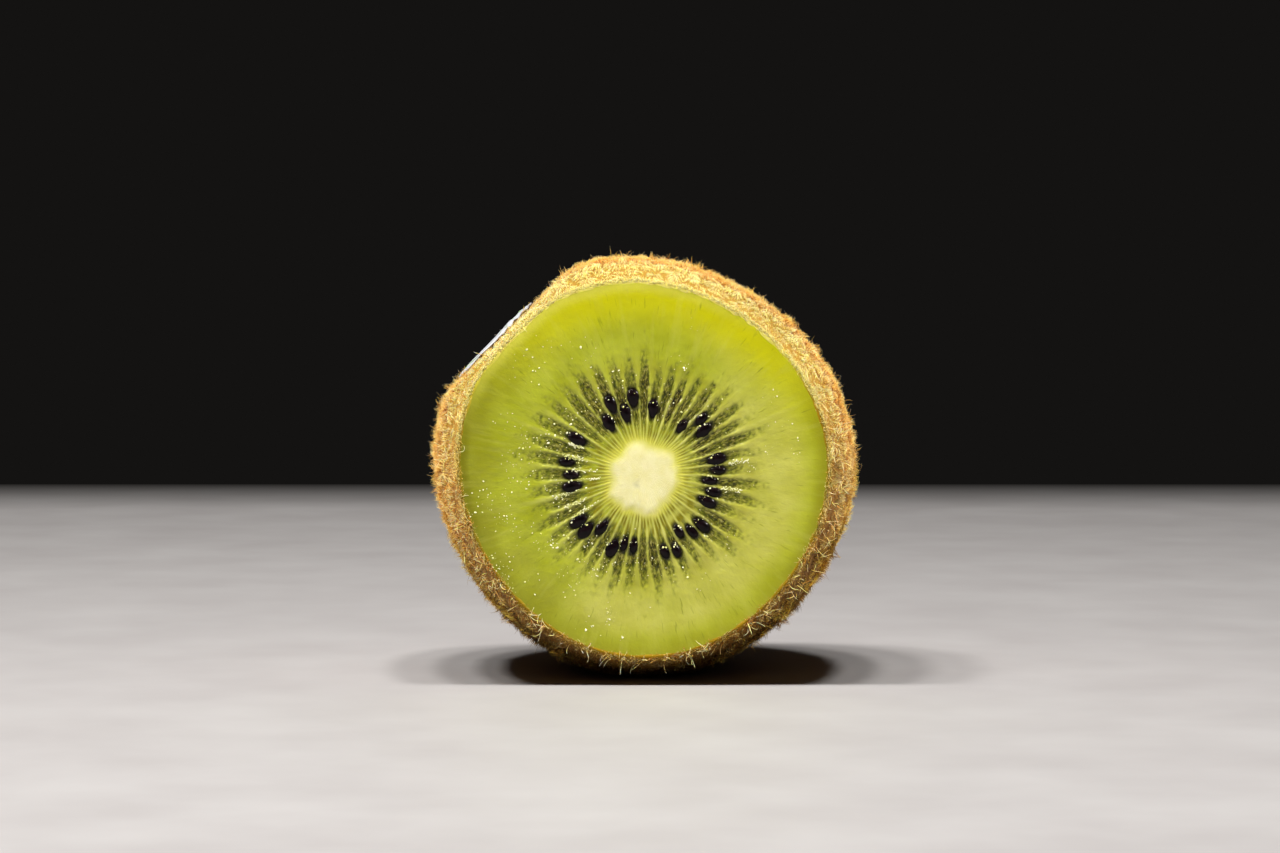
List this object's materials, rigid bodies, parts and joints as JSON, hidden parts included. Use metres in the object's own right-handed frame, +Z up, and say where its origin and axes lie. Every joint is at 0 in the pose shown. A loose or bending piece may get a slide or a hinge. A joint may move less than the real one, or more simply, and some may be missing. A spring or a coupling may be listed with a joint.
{
  "type": "kiwi fruit half",
  "caption": "Fuzzy kiwi fruit lying on its side with one end sliced off, its green cut face, pale core and ring of dark seeds upright.",
  "frame": {"origin": "on the table, under the middle of the fruit's length and width", "axes": "+Y along the fruit from the cut face to the far end, +Z up, +X to the right of someone who looks at the cut face"},
  "size_m": [0.048, 0.0376, 0.0476],
  "materials": {
    "kiwi": "fuzzy brown skin, moist green cut face",
    "sticker": "satin"
  },
  "bodies": {
    "root": {"kiwi": "kiwi", "sticker": "sticker"}
  },
  "joints": []
}
